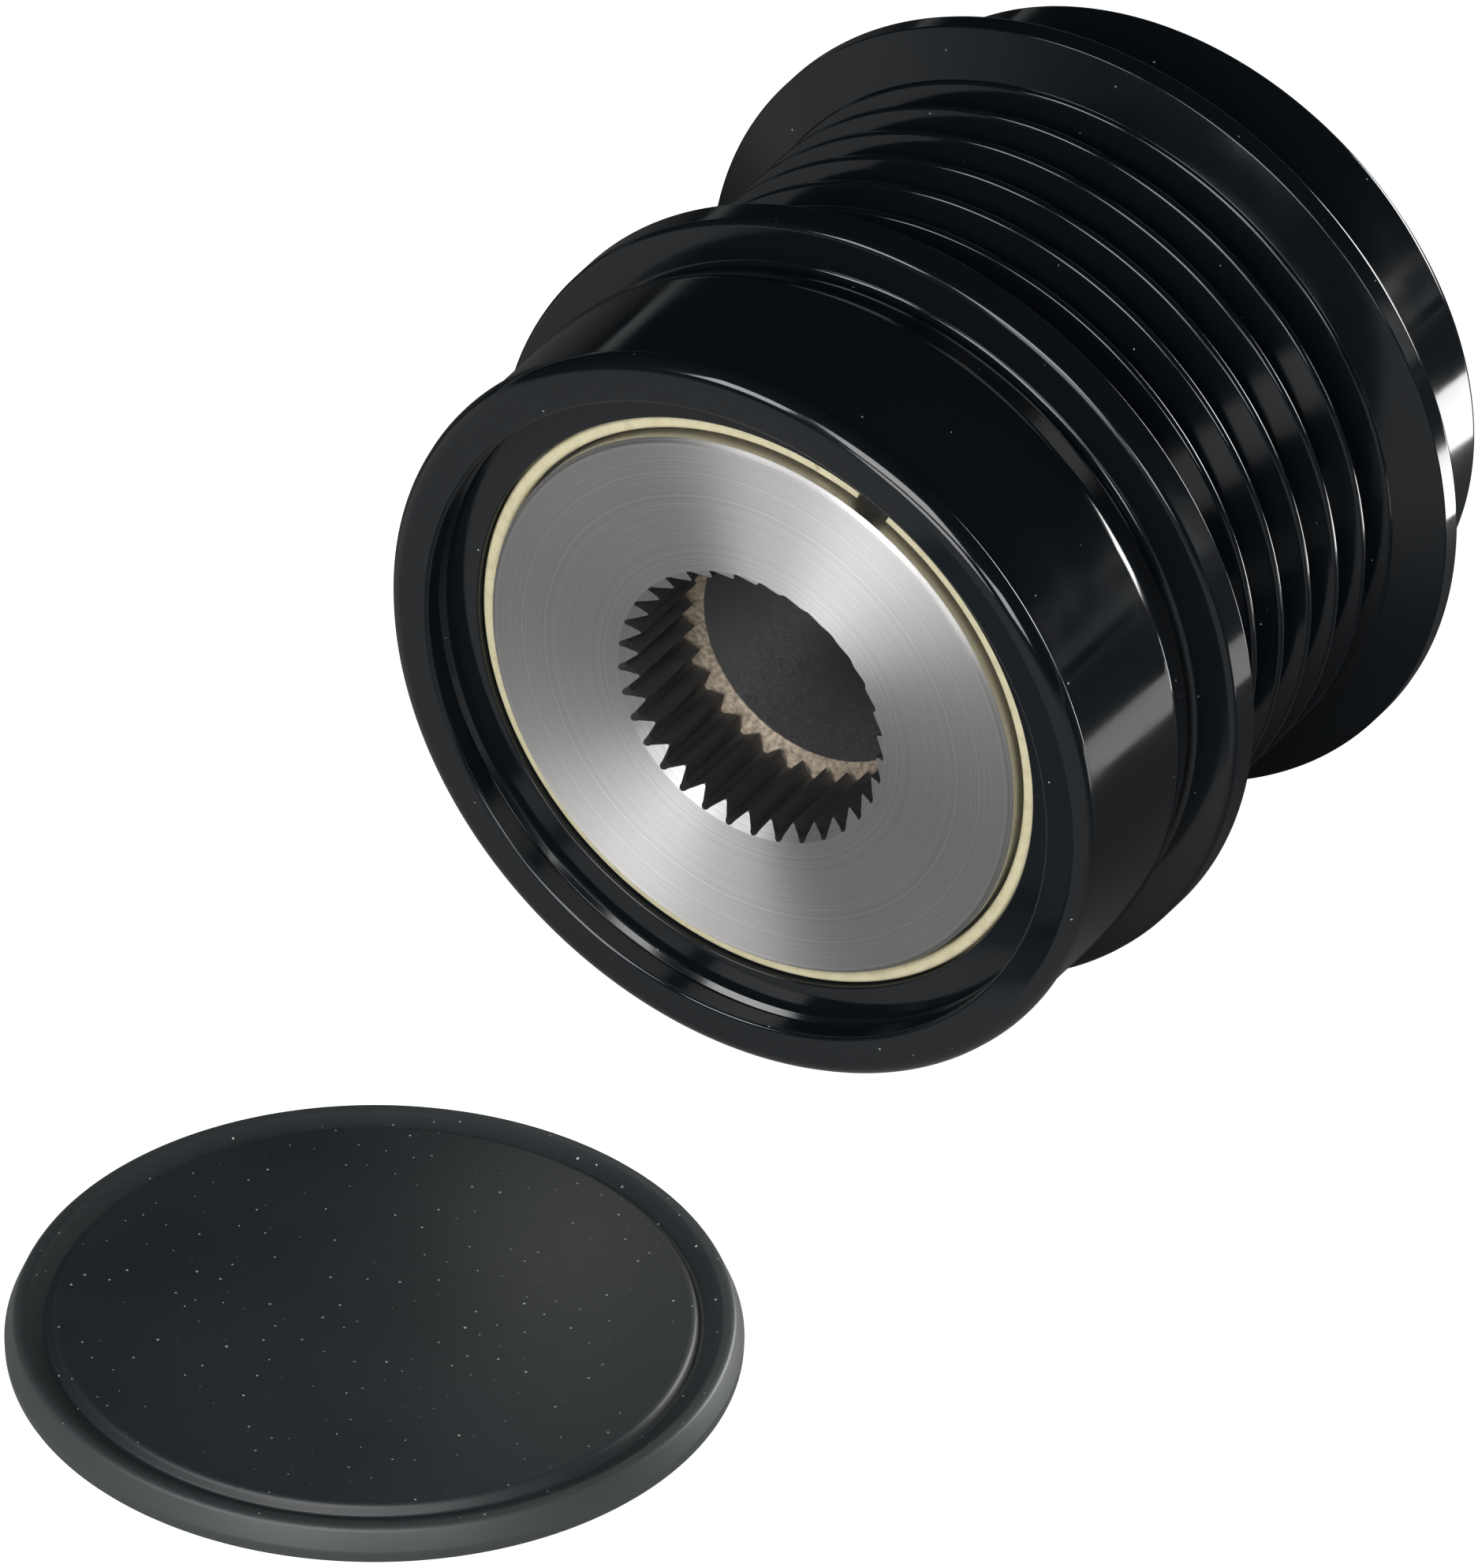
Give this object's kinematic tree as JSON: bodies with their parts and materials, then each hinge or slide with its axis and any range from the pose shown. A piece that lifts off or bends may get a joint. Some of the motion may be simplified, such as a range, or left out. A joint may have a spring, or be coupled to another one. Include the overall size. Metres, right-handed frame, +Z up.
{
  "type": "overrunning alternator pulley",
  "caption": "Black ribbed belt pulley for an alternator, on a one-way roller clutch and a steel hub with a splined socket, its round end cap lying beside it.",
  "frame": {"origin": "on the pulley's axis, in the hub's rear end face, which seats on the alternator", "axes": "+Y along the pulley's axis towards the alternator, the nose towards -Y, +Z up, the pulley lying on its two flanges"},
  "size_m": [0.0598, 0.1222, 0.0598],
  "materials": {
    "coated_steel": "gloss black dip coat",
    "turned_steel": "fine turned",
    "bearing_steel": "ground",
    "pressed_steel": "oiled pressed sheet",
    "spring_steel": "rolled strip",
    "ring_plastic": "natural moulded",
    "cage_plastic": "natural moulded",
    "washer_plastic": "machined",
    "seal_rubber": "moulded",
    "cap_plastic": "satin moulded"
  },
  "bodies": {
    "hub_body": {"hub": "turned_steel", "ramp_ring": "bearing_steel", "rear_race_ring": "bearing_steel", "end_cap": "cap_plastic"},
    "rim_body": {"pulley_rim": "coated_steel", "clutch_sleeve": "bearing_steel", "split_ring": "ring_plastic", "front_thrust_washer": "washer_plastic", "rear_thrust_washer": "washer_plastic", "seal_case": "pressed_steel", "seal_lip": "seal_rubber"},
    "clutch_set": {"clutch_cage": "cage_plastic", "clutch_roller_01": "bearing_steel", "clutch_roller_02": "bearing_steel", "clutch_roller_03": "bearing_steel", "clutch_roller_04": "bearing_steel", "clutch_roller_05": "bearing_steel", "clutch_roller_06": "bearing_steel", "clutch_roller_07": "bearing_steel", "clutch_roller_08": "bearing_steel", "clutch_roller_09": "bearing_steel", "clutch_roller_10": "bearing_steel", "clutch_roller_11": "bearing_steel", "clutch_roller_12": "bearing_steel", "clutch_spring_01": "spring_steel", "clutch_spring_02": "spring_steel", "clutch_spring_03": "spring_steel", "clutch_spring_04": "spring_steel", "clutch_spring_05": "spring_steel", "clutch_spring_06": "spring_steel", "clutch_spring_07": "spring_steel", "clutch_spring_08": "spring_steel", "clutch_spring_09": "spring_steel", "clutch_spring_10": "spring_steel", "clutch_spring_11": "spring_steel", "clutch_spring_12": "spring_steel"},
    "front_needle_set": {"front_needle_cage": "cage_plastic", "front_needles": "bearing_steel"},
    "rear_needle_set": {"rear_needle_cage": "cage_plastic", "rear_needles": "bearing_steel"}
  },
  "joints": [
    {"name": "rim_spin", "type": "hinge", "parent": "hub_body", "child": "rim_body", "pos_m": [0, 0, 0], "axis": [0, 1, 0], "continuous": true},
    {"name": "clutch_shift", "type": "hinge", "parent": "hub_body", "child": "clutch_set", "pos_m": [0, 0, 0], "axis": [0, 1, 0], "range_deg": [0, 1.5]},
    {"name": "front_needles_orbit", "type": "hinge", "parent": "hub_body", "child": "front_needle_set", "pos_m": [0, 0, 0], "axis": [0, 1, 0], "continuous": true},
    {"name": "rear_needles_orbit", "type": "hinge", "parent": "hub_body", "child": "rear_needle_set", "pos_m": [0, 0, 0], "axis": [0, 1, 0], "continuous": true}
  ],
  "couplings": [
    {"joint": "front_needles_orbit", "follows": "rim_spin", "ratio": 0.53387},
    {"joint": "rear_needles_orbit", "follows": "rim_spin", "ratio": 0.53387}
  ]
}
